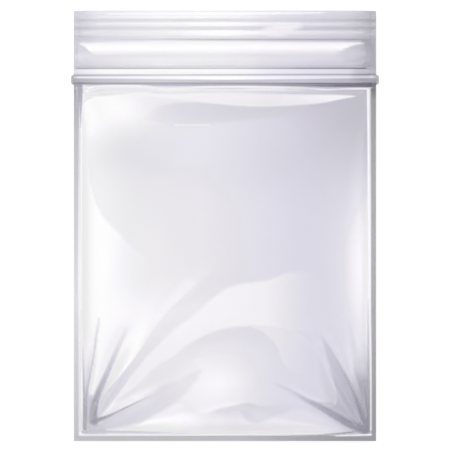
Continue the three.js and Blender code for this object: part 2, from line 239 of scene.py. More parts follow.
def beside(u, v, path):
    """How far each point is from a path, and how far along it the nearest place is, from 0 to 1."""
    lengths = np.hypot(*np.diff(path, axis=0).T)
    starts = np.concatenate([[0], np.cumsum(lengths)])
    gap = np.full(u.shape, np.inf)
    share = np.zeros(u.shape)
    for a, b, start, length in zip(path, path[1:], starts, lengths):
        du, dv = (b - a) / length
        run = np.clip((u - a[0]) * du + (v - a[1]) * dv, 0, length)
        distance = np.hypot(u - a[0] - run * du, v - a[1] - run * dv)
        nearer = distance < gap
        gap = np.where(nearer, distance, gap)
        share = np.where(nearer, (start + run) / starts[-1], share)
    return gap, share


def inside(u, v, outline):
    """True for each point within a closed outline."""
    crossed = np.zeros(u.shape, bool)
    for a, b in zip(outline, np.roll(outline, -1, axis=0)):
        if a[1] == b[1]:
            continue
        spans = (a[1] > v) != (b[1] > v)
        crossed ^= spans & (u < a[0] + (v - a[1]) / (b[1] - a[1]) * (b[0] - a[0]))
    return crossed


def near_box(u, v, path, margin):
    low, high = path.min(0) - margin, path.max(0) + margin
    return (u > low[0]) & (u < high[0]) & (v > low[1]) & (v < high[1])


def strip_rise(y, crown):
    bead = swell_share((y - BEAD_MIDDLE) / (BEAD_WIDTH / 2), BEAD_FORM)
    return FLANGE_RISE + (crown - FLANGE_RISE) * bead


def film_over_strip(y, crown):
    past = np.maximum(np.maximum(y - FLANGE_TOP, POUCH_TOP - y), 0)
    return (strip_rise(y, crown) + WELD_GAP) * (1 - clamp01(past / RAMP_LENGTH))


def rib_share(y):
    down = TOP_EDGE - y
    ribbed = down <= RIB_COUNT * RIB_PITCH
    return np.where(ribbed, (1 - np.cos(2 * np.pi * down / RIB_PITCH)) / 2, 0)


def lip_rise(x, y, lift):
    side = np.sin(clamp01((POUCH_HALF_WIDTH - np.abs(x)) / LIP_TAPER) * np.pi / 2)
    bulge = BAND_BULGE * swell_share((y - BAND_MIDDLE) / (BAND_LENGTH / 2), BAND_FORM)
    mouth = lift * clamp01((y - RIBS_BOTTOM) / (TOP_EDGE - RIBS_BOTTOM))
    return side * np.maximum(bulge, mouth)


def crease_rise(x, y, crease, side):
    across = POUCH_HALF_WIDTH - side * x - crease["start"][0]
    up = y - POUCH_BOTTOM - crease["start"][1]
    angle = math.radians(crease["turn"])
    share = (across * math.cos(angle) + up * math.sin(angle)) / crease["reach"]
    within = clamp01(share)
    off = up * math.cos(angle) - across * math.sin(angle) - crease["bow"] * within**2
    width = crease["near"] + (crease["far"] - crease["near"]) * within
    rise = crease["depth"] * np.sin(np.pi * np.sqrt(within)) * np.exp(-((off / width) ** 2))
    return np.where((share > 0) & (share < 1), rise, 0)


def swelling_rise(x, y, swelling):
    angle = math.radians(swelling["tilt"])
    dx = x - swelling["at"][0]
    dy = y - POUCH_MIDDLE - swelling["at"][1]
    across = (dx * math.cos(angle) + dy * math.sin(angle)) / swelling["size"][0]
    along = (dy * math.cos(angle) - dx * math.sin(angle)) / swelling["size"][1]
    return swelling["rise"] * np.exp(-across * across - along * along)


def fold_rise(x, y, fold):
    u, v = photo_u(x), photo_v(y)
    path = smooth_path(fold["path"])
    near = near_box(u, v, path, 3 * max(fold["half"]) / MM_PER_PIXEL)
    gap, share = beside(u[near], v[near], path)
    half = fold["half"][0] + (fold["half"][1] - fold["half"][0]) * share
    rise = np.zeros(u.shape)
    along = np.sin(np.pi * share**FOLD_FADE["start"]) ** FOLD_FADE["ends"]
    rise[near] = fold["rise"] * along * np.exp(-((gap * MM_PER_PIXEL / half) ** 2))
    return rise


def inside_distances(x, y):
    return [POUCH_HALF_WIDTH - np.abs(x), y - POUCH_BOTTOM, POUCH_TOP - y]


def front_rise(x, y, fine=True):
    """Height of the inner face of the front panel above the plane of the welds."""
    wave = (np.interp(photo_u(x), *ZIP_WAVE) - ZIP_WAVE_LEVEL) * MM_PER_PIXEL
    ledges = [SIDE_LEDGE, BOTTOM_LEDGE, TOP_LEDGE + wave] if fine else [0, 0, 0]
    distances = [distance - ledge for distance, ledge in zip(inside_distances(x, y), ledges)]
    nearest = np.minimum(np.minimum(*distances[:2]), distances[2])
    outline = film_over_strip(y, GROOVE_CROWN) + lip_rise(x, y, FRONT_LIP_LIFT)
    softness = (SOFT_SHOULDER, SOFT_SHOULDER, 1) if fine else (1, 1, 1)
    shoulder = math.prod(shoulder_share(soft * distance) for soft, distance in zip(softness, distances))
    half_length = POUCH_HALF_LENGTH - np.where(y > POUCH_MIDDLE, ledges[2], ledges[1])
    along = swell_share((y - POUCH_MIDDLE) / half_length, PILLOW_ALONG)
    across = swell_share(x / (POUCH_HALF_WIDTH - ledges[0]), PILLOW_ACROSS)
    swell = sum(swelling_rise(x, y, swelling) for swelling in SWELLINGS)
    creases = sum(crease_rise(x, y, crease, -1) for crease in LEFT_CREASES)
    creases = creases + sum(crease_rise(x, y, crease, 1) for crease in RIGHT_CREASES)
    if fine:
        creases = creases + sum(fold_rise(x, y, fold) for fold in FOLDS)
    pouch = FRONT_SHOULDER * shoulder + FRONT_PUFF * across * along
    pouch = pouch + swell * eased_share(nearest, SWELL_EDGE_RUN)
    pouch = pouch + creases * eased_share(nearest, CREASE_EDGE_RUN)
    pouch = np.maximum(pouch, LEAST_RISE * shoulder)
    if fine:
        outline = outline + LEDGE_SLOPE * np.clip(y - POUCH_BOTTOM, 0, BOTTOM_LEDGE)
    return outline + np.where(nearest > 0, pouch, 0)


def back_depth(x, y):
    """Depth of the inner face of the back panel below the plane of the welds."""
    outline = film_over_strip(y, RIB_CROWN) + lip_rise(x, y, BACK_LIP_LIFT)
    belly = math.prod(eased_share(distance, BACK_EDGE_RUN) for distance in inside_distances(x, y))
    return np.maximum(outline, BACK_BELLY * belly)


def slopes(height_at, x, y):
    """How steeply a surface rises across and along the bag at each point."""
    across = height_at(x + SLOPE_PROBE, y) - height_at(x - SLOPE_PROBE, y)
    along = height_at(x, y + SLOPE_PROBE) - height_at(x, y - SLOPE_PROBE)
    return across / (2 * SLOPE_PROBE), along / (2 * SLOPE_PROBE)


def slope_share(height_at, x, y):
    """How much taller a sheet of even thickness is on the slope at a point than on the flat."""
    across, along = slopes(height_at, x, y)
    return np.minimum(STEEPEST, np.sqrt(1 + across**2 + along**2))


def front_layers(x, y):
    under = WELD_LEVEL + np.maximum(front_rise(x, y), FACE_GAP)
    thickness = FILM_THICKNESS * slope_share(lambda a, b: front_rise(a, b, fine=False), x, y)
    return under, under + thickness + RIB_HEIGHT * rib_share(y)


def back_layers(x, y):
    over = WELD_LEVEL - np.maximum(back_depth(x, y), FACE_GAP)
    return over, over - FILM_THICKNESS * slope_share(back_depth, x, y) - RIB_HEIGHT * rib_share(y)


def graded(start, end, step_at):
    """Numbers from start to end, as far apart as step_at says for each place."""
    places = [start]
    while places[-1] < end:
        places.append(places[-1] + step_at(places[-1]))
    places = np.array(places)
    return start + (places - start) * (end - start) / (places[-1] - start)


def mirrored(steps):
    half = graded(0, HALF_WIDTH, lambda x: np.interp(x, *steps))
    return np.concatenate([-half[:0:-1], half])


def placed(low, high, steps):
    return graded(low, high, lambda y: np.interp(y, *steps))


def block_faces(numbers):
    corners = [numbers[:-1, :-1], numbers[:-1, 1:], numbers[1:, 1:], numbers[1:, :-1]]
    return np.stack(corners, -1).reshape(-1, 4).tolist()


def stitched(lower, upper, lower_x, upper_x):
    """Triangles between two rows that have different columns."""
    faces = []
    i = j = 0
    while i < len(lower) - 1 or j < len(upper) - 1:
        next_lower = lower_x[i + 1] if i < len(lower) - 1 else math.inf
        next_upper = upper_x[j + 1] if j < len(upper) - 1 else math.inf
        if next_upper < next_lower:
            faces.append([lower[i], upper[j + 1], upper[j]])
            j += 1
        else:
            faces.append([lower[i], lower[i + 1], upper[j]])
            i += 1
    return faces


def rim_of(blocks):
    """The outline of a layer, counter-clockwise from its lower left corner."""
    right = np.concatenate([block[:, -1] for block in blocks])
    left = np.concatenate([block[:, 0] for block in blocks])
    return [*blocks[0][0], *right[1:], *blocks[-1][-1, :-1][::-1], *left[-2::-1]]


def placed_object(name, data):
    thing = bpy.data.objects.new(name, data)
    bpy.context.scene.collection.objects.link(thing)
    return thing


def new_piece(name, points, faces, layers, materials):
    mesh = bpy.data.meshes.new(name)
    mesh.from_pydata((points * METRES).tolist(), [], faces)
    for material in materials:
        mesh.materials.append(material)
    mesh.polygons.foreach_set("material_index", layers)
    mesh.polygons.foreach_set("use_smooth", [True] * len(faces))
    mesh.set_sharp_from_angle(angle=math.radians(SHARP_ANGLE))
    return placed_object(name, mesh)


def film_panel(name, layers_at, blocks, facing, finish_at, materials):
    """A closed thin sheet. facing is 1 where its outer face looks up, and -1 where it looks down."""
    columns = [mirrored(block["columns"]) for block in blocks]
    lows = [BOTTOM_EDGE, *(block["top"] + JOIN_STEP for block in blocks[:-1])]
    rows = [placed(low, block["top"], block["rows"]) for low, block in zip(lows, blocks)]
    numbers = []
    count = 0
    for across, along in zip(columns, rows):
        size = len(across) * len(along)
        numbers.append(count + np.arange(size).reshape(len(along), -1))
        count += size
    x = np.concatenate([np.tile(across, len(along)) for across, along in zip(columns, rows)])
    y = np.concatenate([np.repeat(along, len(across)) for across, along in zip(columns, rows)])
    inner, outer = layers_at(x, y)
    points = np.concatenate([np.stack([x, y, outer], -1), np.stack([x, y, inner], -1)])
    layer = [face for block in numbers for face in block_faces(block)]
    for lower, upper, lower_x, upper_x in zip(numbers, numbers[1:], columns, columns[1:]):
        layer += stitched(lower[-1], upper[0], lower_x, upper_x)
    rim = rim_of(numbers)
    outer_faces = layer if facing > 0 else [face[::-1] for face in layer]
    inner_faces = [[corner + count for corner in face[::-1]] for face in outer_faces]
    edge = [[b, a, a + count, b + count] for a, b in zip(rim, rim[1:])]
    edge = edge if facing > 0 else [face[::-1] for face in edge]
    layers = [0] * len(outer_faces) + [1] * len(inner_faces) + [0] * len(edge)
    piece = new_piece(name, points, outer_faces + inner_faces + edge, layers, materials)
    tint_and_painted_light, cloud_and_painted_light = finish_at(x, y)
    colours = np.tile(np.concatenate([tint_and_painted_light, np.ones((count, 1))], -1), (2, 1))
    piece.data.attributes.new("tint_and_painted_light", "FLOAT_COLOR", "POINT").data.foreach_set("color", colours.ravel())
    piece.data.attributes.new("cloud_and_painted_light", "FLOAT", "POINT").data.foreach_set("value", np.tile(cloud_and_painted_light, 2))
    return piece


# Tones of the film, painted into its colour and cloudiness. They are painted light and shade: the
# pouch darker towards the right and the lips brightest left of the middle, as painted sheen and shade,
# and the marks below. Light is how bright the film looks from above in this scene, from 0 to 255, and
# violet is how many of those steps its blue is above its green. Both change evenly between the places
# in the photograph that are given first.
HEADER_LIGHT = ([74, 100, 160, 240, 350, 376], [211, 231, 242, 237, 213, 189])
HEADER_VIOLET = ([74, 200, 310, 376], [10, 6, 13, 10])
POUCH_LIGHT = ([92, 200, 310], [236, 236, 222])
POUCH_VIOLET = ([84, 300, 360], [6, 14, 11])
SEAL_VIOLET = 6
# Tones down the welds, much darker along the right weld than the left, with painted shade in them
SEAL_LIGHT_LEFT = ([84, 130, 300, 436], [168, 198, 227, 198])
SEAL_LIGHT_RIGHT = ([84, 100, 145, 240, 330, 436], [106, 158, 172, 181, 175, 150])
SEAL_LIGHT_BOTTOM = ([76, 240, 345], [193, 188, 153])
SEAL_LEFT = 78.6
SEAL_RIGHT = 371.4
SEAL_BOTTOM = 435.8

# A mark is a soft glow, a patch within an outline, or a line along a path. It brings the film to
# its light, or changes the light by its step, and two or more values are spread along it. Places are
# pixels of the photograph, and places and tones alike were set against it.
# Each mark paints a highlight, sheen or shade into the film's colour.
def glow(centre, size, **tone):
    return {"glow": centre, "size": size, **tone}


def patch(outline, **tone):
    return {"patch": outline, **tone}


def line(path, **tone):
    return {"line": path, **tone}


# Painted highlights, sheen and shade over the pouch
PAINTED_SHEEN_MARKS = [
    # Painted light on the right side and the left middle, and painted shade over the upper middle and upper
    # left
    glow((374, 262), (31, 72), light=247),
    glow((262, 150), (56, 34), light=218, strength=0.7),
    glow((150, 145), (76, 34), light=225, strength=0.85),
    glow((142, 248), (38, 36), light=241, strength=0.8),
    # Painted shade in the upper right corner, and a painted highlight in the upper left one
    glow((366, 100), (84, 72), light=197),
    glow(
        (100, 106), (44, 30), light=257,
        within=[
            (83, 112), (84, 105), (88, 100.5), (95, 98), (106, 96.5), (250, 95.5), (250, 230), (84, 230),
        ],
    ),
    # Painted shade below the long highlight under the zip, a short painted highlight line, and that painted
    # highlight
    patch(
        [(143, 121), (152, 111), (172, 104), (250, 103), (306, 105), (291, 115), (245, 121), (187, 125.5)],
        soft=2.5, light=(230, 209), between=((137, 115), (300, 110)), violet=10, strength=(0, 1, 1, 1, 1),
    ),
    line([(176, 125.6), (192, 126), (208, 125.6)], half=(0.2, 0.6, 0.2), light=238, strength=0.8),
    patch(
        [(140, 95), (200, 94), (300, 94.8), (352, 95.9), (341, 99.4), (310, 105), (250, 107.2), (185, 101)],
        soft=1.2, light=(246, 236), between=((160, 98), (270, 98)),
    ),
    glow(
        (335, 97), (34, 6), light=254, strength=0.9,
        within=[
            (283, 94.6), (352, 95.9), (341, 99.4), (310, 105), (283, 107),
        ],
    ),
    # The painted highlight down the left side, and how it fades
    patch(
        [(80, 118), (83, 128), (86, 142), (87.5, 164), (91, 189), (102, 215), (120, 234), (140, 253),
         (160, 268), (160, 330), (103, 397), (90, 425), (80, 432)],
        soft=1.6, light=(253, 250, 246), between=((88, 264), (150, 275)), strength=(1, 1, 0.6, 0),
    ),
    glow(
        (120, 312), (75, 38), light=250,
        within=[
            (80, 210), (240, 210), (215, 268), (194, 286), (174, 304.5), (156, 324.5), (136, 356),
            (103, 396), (80, 420),
        ],
    ),
    glow(
        (110, 368), (40, 44), light=247,
        within=[
            (84, 250), (210, 270), (194, 286), (174, 304.5), (156, 324.5), (136, 356), (103, 396),
            (90, 428), (84, 428),
        ],
    ),
    line(
        [(190, 286), (172, 303), (154, 322), (133, 352), (114, 378)],
        half=4, soft=8, light=252, strength=(0.5, 1, 1, 0.7),
    ),
]

# Painted shade and sheen that follow the folds of the pouch
PAINTED_FOLD_LIGHT_AND_SHADE_MARKS = [
    # A painted grey band of shade rising from the lower left corner, and a painted pale band below it
    patch(
        [(97, 420), (103, 396), (125, 369), (136, 356), (148.7, 336), (156, 324.5), (174, 304.5),
         (194, 286), (215, 266), (240, 258), (234, 284), (214, 297), (192, 315.5), (161.5, 341), (149, 354),
         (136, 370), (105, 412)],
        soft=1.4, light=(216, 231, 239, 237, 232), between=((105, 405), (228, 270)), violet=10,
        strength=(1, 1, 1, 0.8, 0),
    ),
    patch(
        [(104, 413), (123, 388), (136, 370), (149, 354), (161.5, 341), (178, 326), (192, 315.5), (214, 297),
         (222, 290), (229, 286), (246, 282.5), (264, 280), (275, 277), (290, 272), (320, 275), (330, 300),
         (325, 328), (295, 330), (282, 328), (267, 325.4), (251, 324.6), (240, 325), (229, 327.2),
         (214, 331), (199.6, 337), (185, 346), (174, 355), (156, 366), (134, 388), (128, 396), (128, 405),
         (108, 415)],
        soft=2.2, light=(245, 243), between=((246, 300), (324, 300)), violet=10,
        strength=(1, 0.95, 0.5, 0.15, 0),
    ),
    patch(
        [(109, 413), (112.5, 406), (116, 400), (124, 394), (140, 385), (142, 396), (122, 409)],
        soft=2, light=235, violet=10,
    ),
    # Painted shade over the lobe beside the arch and over the arch, and a painted highlight on the dome
    # under it
    patch(
        [(251, 324.6), (267, 325.4), (282, 328), (295, 330), (312, 345), (308, 372), (295, 372),
         (285.6, 366), (280, 355.5), (275, 343), (265.6, 333.6), (255, 328)],
        soft=1.5, light=(236, 230), between=((262, 335), (312, 350)), violet=9, strength=(1, 0.9, 0.4, 0),
    ),
    patch(
        [(129, 394), (145, 377), (156, 366), (174, 355), (185, 346), (199.6, 337), (214, 331), (229, 327.6),
         (240, 327.4), (255, 328), (265.6, 333.6), (275, 343), (280, 355.5), (285.6, 366), (296, 374),
         (300, 394), (280, 398), (262, 380), (249, 363), (236, 354.5), (222, 353.6), (203, 355.5),
         (194, 359), (200, 368), (178, 379), (149, 394), (136, 400)],
        soft=2, light=(236, 234, 230, 222), between=((150, 390), (290, 365)), violet=10,
        strength=(1, 1, 1, 0.3),
    ),
    glow((212, 389), (34, 29), light=251),
    # Shades and lights along the bottom
    patch(
        [(98, 427), (104, 419), (123, 408.5), (149, 396), (163, 385), (178, 379), (201, 368), (192, 384.5),
         (178, 399), (160, 410), (145, 419), (130, 425), (110, 429)],
        soft=2.6, light=(212, 225, 232), between=((104, 424), (185, 390)), violet=11, strength=(1, 1, 0.7),
    ),
    patch(
        [(138, 427), (148, 419), (163, 411), (180, 402), (203, 411), (220, 408), (240, 410), (255, 424),
         (255, 431), (138, 431)],
        soft=3, light=(251, 247, 233, 229), between=((150, 420), (235, 420)), violet=12,
    ),
    patch(
        [(262, 426), (275, 415), (292, 410), (304, 409), (320, 416), (340, 425), (346, 432), (262, 432)],
        soft=3, light=230, violet=14,
    ),
    patch(
        [(203, 414), (216, 408), (233, 404), (249, 402), (262, 404.5), (291, 403), (286, 411), (275, 414),
         (265.6, 418.5), (255.5, 422), (245, 418), (239, 410), (226, 411)],
        soft=1.7, light=(234, 217, 218), between=((205, 410), (290, 408)), violet=11, strength=(1, 1, 0.4),
    ),
]

PAINTED_CORNER_SHADE_MARKS = [
    # Painted shade in the lower corners
    patch(
        [(84, 396), (93, 396), (97, 420), (106, 428), (104, 434), (83, 434)],
        soft=3, light=204, violet=11,
    ),
    glow((372, 420), (30, 40), light=165, violet=13, strength=0.6),
    # Painted shade along the folds into the lower right corner
    patch(
        [(318, 346), (326, 352), (330, 366), (335, 381), (338, 394), (330, 402), (321, 380)],
        soft=3.5, step=-8,
    ),
    line([(349, 322), (354, 348), (358, 366), (361, 380)], half=(1, 3), soft=3.5, step=(-4, -11, -9)),
    patch([(300, 396), (318, 401), (332, 402), (334, 408), (325, 409)], soft=1.4, light=201, violet=12),
    patch(
        [(350, 332), (351.5, 350), (353, 364), (355, 376), (359, 388), (363, 400), (369, 420), (371, 420),
         (371, 345), (364, 338)],
        soft=2, light=(222, 216, 205, 178, 162), between=((358, 338), (367, 400)), violet=11,
        strength=(0, 0.8, 1, 1),
    ),
    patch(
        [(350, 372), (355, 376), (359.5, 388), (363, 400), (367, 414), (359, 400), (353, 386)],
        soft=1.4, light=(214, 194, 186), between=((352, 374), (362, 404)), violet=11,
    ),
    patch(
        [(321, 335.5), (330.5, 348), (339, 362.7), (347.5, 377), (353, 389), (357.5, 402), (366, 419),
         (366, 428), (349, 421), (336, 413), (324, 407), (334, 405), (336.5, 395.5), (333, 381),
         (328.8, 366), (325, 352)],
        soft=1.4, light=(210, 197, 189), between=((323, 340), (360, 420)), violet=14,
    ),
    # Painted shade in the creases of the lower left corner
    patch(
        [(83, 330), (99, 318), (96, 345), (88, 402), (85.5, 428), (84, 415), (82.5, 385)],
        soft=2.5, light=(240, 231, 221), between=((92, 325), (88, 405)), violet=8, strength=(0.3, 1, 1),
    ),
    line(
        [(81.5, 310), (83, 352), (84, 385), (85, 428)],
        half=(0.1, 0.7, 1.3), light=(240, 210, 158), violet=14,
    ),
    line(
        [(99.5, 318), (96.6, 338), (94.6, 352), (92.6, 364), (89.8, 377), (87.2, 392), (85.5, 425)],
        half=(1.2, 0.5, 0.9), soft=1.4, light=(236, 218, 192, 172), violet=12,
    ),
    line(
        [(127, 328), (117.3, 350), (107.8, 372), (97.4, 396), (94, 411), (93.7, 421)],
        half=(1.4, 2, 2.6, 3.6), soft=2, light=(244, 230, 210, 190, 172), violet=12,
    ),
    line(
        [(94, 421), (106, 416.8), (131, 404.7), (151, 395)],
        half=(2, 0.7, 0.4, 0.2), light=(162, 174, 190, 228), violet=11,
    ),
    # Painted shade in the creases of the lower right corner
    line(
        [(276, 383), (293, 391), (304, 398), (320, 407), (334.7, 415.5), (349, 423), (365, 430)],
        half=(0.5, 1.7, 4), soft=2, light=(219, 176, 148), violet=15,
    ),
    line(
        [(321, 335.5), (338, 362.7), (351.5, 388), (361, 411), (365, 422)],
        half=(0.3, 0.5, 1.2, 2.6), light=(214, 194, 166, 150), violet=12,
    ),
    line(
        [(366.5, 384), (367.5, 404), (368, 425)],
        half=(0.5, 2.6), soft=2, light=(176, 157, 150), violet=13,
    ),
]

POUCH_MARKS = PAINTED_SHEEN_MARKS + PAINTED_FOLD_LIGHT_AND_SHADE_MARKS + PAINTED_CORNER_SHADE_MARKS

# How softly a line and the outline round a glow end, and in how many steps an outline is curved
LINE_SOFT = 0.9
WITHIN_SOFT = 1
OUTLINE_STEPS = 5

# Painted highlights and shade along the welds and the zip, on top of everything else
PAINTED_EDGE_LIGHT_AND_SHADE_MARKS = [
    # Left weld: painted shade, and a painted highlight line just inside it
    line([(80.6, 84), (80.6, 110), (80.4, 128)], half=(2.2, 0.2), light=(168, 222), violet=14),
    line([(77.1, 87), (77.1, 108)], half=(0.6, 0.2), light=(200, 204), violet=12),
    line([(79.6, 128), (79.4, 200), (79.6, 320), (80, 430)], half=(0.6, 1.3, 1), light=(232, 255, 228)),
    # Under the zip: a painted shade line, a painted grey band, and a painted highlight line
    line(
        [(86, 84.8), (150, 85.6), (225, 85.5), (376, 85.9)],
        half=(0.4, 0.6, 1.3), light=(200, 190, 126), violet=12,
    ),
    line(
        [(90, 92), (108, 89.6), (139, 90), (165, 92), (200, 90.6), (260, 90), (325, 92), (362, 92)],
        half=(0.8, 2.4, 1.9, 1.2), soft=1.4, light=(230, 226, 222, 200), violet=9,
    ),
    line(
        [(86, 91), (91, 88), (99, 86.2), (120, 85.8), (139, 86.2), (170, 89.4), (200, 87.6), (225, 87.3),
         (260, 87.4), (300, 88), (325, 89.4), (345, 89), (368, 88.9)],
        half=(0.5, 1.1, 0.9, 1.3, 0.6, 0.4), light=255,
    ),
    # Right weld: a painted highlight line, with painted shade just inside it
    line(
        [(368.3, 90), (369, 200), (369.8, 300), (370.7, 360), (370.9, 430)],
        half=(1.2, 0.9, 0.6), light=(254, 255, 238),
    ),
    line([(367.8, 300), (368.2, 350), (368.6, 430)], half=(0.2, 0.8), light=(222, 185, 146), violet=6),
    # Bottom weld: painted highlight lines, and painted shade
    line(
        [(190, 430.6), (225, 432), (260, 432.7), (300, 432.8), (328, 432)],
        half=(0.6, 1.6, 0.3), light=(249, 255, 235),
    ),
    line(
        [(83, 431.6), (120, 431.8), (150, 432.4), (190, 433.6), (212, 434.2)],
        half=(1.3, 1.2, 0.4), light=(198, 212, 226), violet=9,
    ),
    line([(80, 434.8), (190, 434.8), (260, 433.9), (322, 433.6)], half=(0.7, 0.5), light=(240, 250, 240)),
    line(
        [(290, 435.8), (320, 435.1), (345, 433), (354, 431.6)],
        half=(0.3, 0.6), light=(190, 180, 150), violet=8,
    ),
    line([(336, 435.8), (350, 435.3), (371, 434.7)], half=(0.4, 0.7), light=(244, 250)),
]

# Painted highlights and shade over the lips and the zip
PAINTED_HEADER_LIGHT_AND_SHADE_MARKS = [
    # Painted highlights on the ribs of the lips, and painted shade in the grooves
    line([(74, 11), (376, 11)], half=0.8, step=-6),
    line([(106, 14), (225, 14), (325, 13)], half=(0.3, 1.6, 0.3), light=253),
    line([(74, 20.6), (376, 20.6)], half=1.1, soft=1.3, step=(-13, -12, -8, -20)),
    line([(90, 17.2), (190, 17.2), (290, 17.2)], half=0.9, soft=1.2, step=(6, 12, 12, 0)),
    line([(96, 24.2), (345, 24.4)], half=(0.4, 1.9, 0.6), light=(238, 255, 226)),
    line([(74, 28.5), (376, 28.5)], half=1.3, soft=1.4, step=(-14, -8, -16)),
    patch(
        [(256, 33), (266, 27), (282, 23), (302, 24.5), (294, 31), (284, 36), (268, 36)],
        soft=2.5, light=243,
    ),
    line([(84, 33), (225, 33), (362, 32.4)], half=(0.8, 2.6, 0.6), light=(226, 255, 220)),
    line([(74, 37), (376, 37)], half=0.8, step=(-11, 2, -7)),
    line([(74, 39.6), (376, 39.5)], half=0.7, step=(-6, -40, -32)),
    # Painted highlight on the raised band, and the painted sheen that fades below it
    patch(
        [(79, 43.2), (150, 42.6), (300, 42.5), (364, 42.9), (352, 45.8), (338.5, 52.2), (326, 55),
         (225, 54), (150, 55), (100, 55), (92, 53.4), (86, 48)],
        soft=1.2, light=253,
    ),
    patch(
        [(90, 52), (338, 50), (330, 59), (92, 59)],
        soft=5, light=(236, 242, 229), between=((92, 55), (330, 55)), strength=0.8,
    ),
    # Painted shade and light along the flange above the bead, and painted shade at the dark right end
    line([(74, 66.4), (376, 66)], half=0.6, soft=1, step=-10),
    line([(76, 68.4), (376, 68.2)], half=0.5, soft=0.8, step=(-50, -60, -40, -74, -84)),
    line([(76, 71.6), (367, 71.6)], half=2.2, soft=1, step=(22, 32, 14, 15)),
    patch([(364, 44), (350, 48), (341, 53), (345, 62), (366, 60), (369, 53)], soft=2, step=-9),
    patch(
        [(362, 41), (378, 40), (378, 68), (362, 67), (366, 61), (367.5, 54), (365.5, 47)],
        soft=1.2, light=178, violet=12,
    ),
    # Painted highlight on the bead, painted shade in the dark line below it and at its right end
    line([(74, 75.5), (200, 75.3), (376, 74.6)], half=0.6, step=(-42, -50, -36)),
    line([(74, 80.8), (376, 80.8)], half=2.2, soft=0.8, step=(-32, -28, -38, -20, -28)),
    line(
        [(78, 77.7), (150, 77.7), (225, 78), (290, 77.6), (372, 77)],
        half=(0.4, 1.3, 1.9, 1.5, 0.8), light=(238, 255, 222),
    ),
    line(
        [(74, 84), (200, 84.1), (376, 84.7)],
        half=(1, 1.1, 1.5), soft=0.8, step=(-60, -70, -74), violet=13,
    ),
    patch([(353, 69), (368, 69), (368, 79), (353, 79)], soft=3, step=-14),
]


def spread(values, share):
    """A value that changes evenly along a share from 0 to 1, or stays the same."""
    if np.ndim(values) == 0:
        return np.full(share.shape, float(values))
    return np.interp(share, np.linspace(0, 1, len(values)), values)


def glow_share(u, v, centre, size):
    return np.exp(-(((u - centre[0]) / size[0]) ** 2) - ((v - centre[1]) / size[1]) ** 2)


def patch_share(u, v, outline, soft):
    path = smooth_path([*outline, outline[0]], steps=OUTLINE_STEPS)
    near = near_box(u, v, path, 2 * soft)
    gap, _ = beside(u[near], v[near], path)
    signed = np.where(inside(u[near], v[near], path), gap, -gap)
    share = np.zeros(u.shape)
    share[near] = smooth_step(-soft, soft, signed)
    return share


def mark_share(u, v, mark):
    """How strongly a mark covers each point, and how far along the mark the point is."""
    along = np.zeros(u.shape)
    if "between" in mark:
        (u0, v0), (u1, v1) = mark["between"]
        run = ((u - u0) * (u1 - u0) + (v - v0) * (v1 - v0)) / ((u1 - u0) ** 2 + (v1 - v0) ** 2)
        along = clamp01(run)
    if "glow" in mark:
        share = glow_share(u, v, mark["glow"], mark["size"])
        if "within" in mark:
            share = share * patch_share(u, v, mark["within"], WITHIN_SOFT)
        return share, along
    if "patch" in mark:
        return patch_share(u, v, mark["patch"], mark["soft"]), along
    path = smooth_path(mark["line"])
    soft = mark.get("soft", LINE_SOFT)
    near = near_box(u, v, path, np.max(mark["half"]) + 2 * soft)
    gap, near_along = beside(u[near], v[near], path)
    half = spread(mark["half"], near_along)
    share = np.zeros(u.shape)
    share[near] = 1 - smooth_step(half - soft / 2, half + soft, gap)
    along[near] = near_along
    return share, along


def paint(light, violet, u, v, marks):
    for mark in marks:
        share, along = mark_share(u, v, mark)
        share = share * spread(mark.get("strength", 1), along)
        change = spread(mark["step"], along) if "step" in mark else spread(mark["light"], along) - light
        light += change * share
        if "violet" in mark:
            violet += (mark["violet"] - violet) * share


def front_tones(x, y):
    u, v = photo_u(x), photo_v(y)
    light = np.interp(u, *POUCH_LIGHT)
    violet = np.interp(u, *POUCH_VIOLET)
    paint(light, violet, u, v, POUCH_MARKS)
    for weld, tones, place in [
        (u < SEAL_LEFT, SEAL_LIGHT_LEFT, v),
        (u > SEAL_RIGHT, SEAL_LIGHT_RIGHT, v),
        (v > SEAL_BOTTOM, SEAL_LIGHT_BOTTOM, u),
    ]:
        light = np.where(weld, np.interp(place, *tones), light)
        violet = np.where(weld, SEAL_VIOLET, violet)
    paint(light, violet, u, v, PAINTED_EDGE_LIGHT_AND_SHADE_MARKS)
    header_light = np.interp(u, *HEADER_LIGHT)
    header_violet = np.interp(u, *HEADER_VIOLET)
    paint(header_light, header_violet, u, v, PAINTED_HEADER_LIGHT_AND_SHADE_MARKS)
    header = y > BEAD_BOTTOM
    return np.where(header, header_light, light), np.where(header, header_violet, violet)


def linear(tone):
    """An even step of brightness on a screen, from 0 to 255, as an amount of light."""
    share = np.clip(tone, 0, 255) / 255
    return np.where(share <= 0.04045, share / 12.92, ((share + 0.055) / 1.055) ** 2.4)


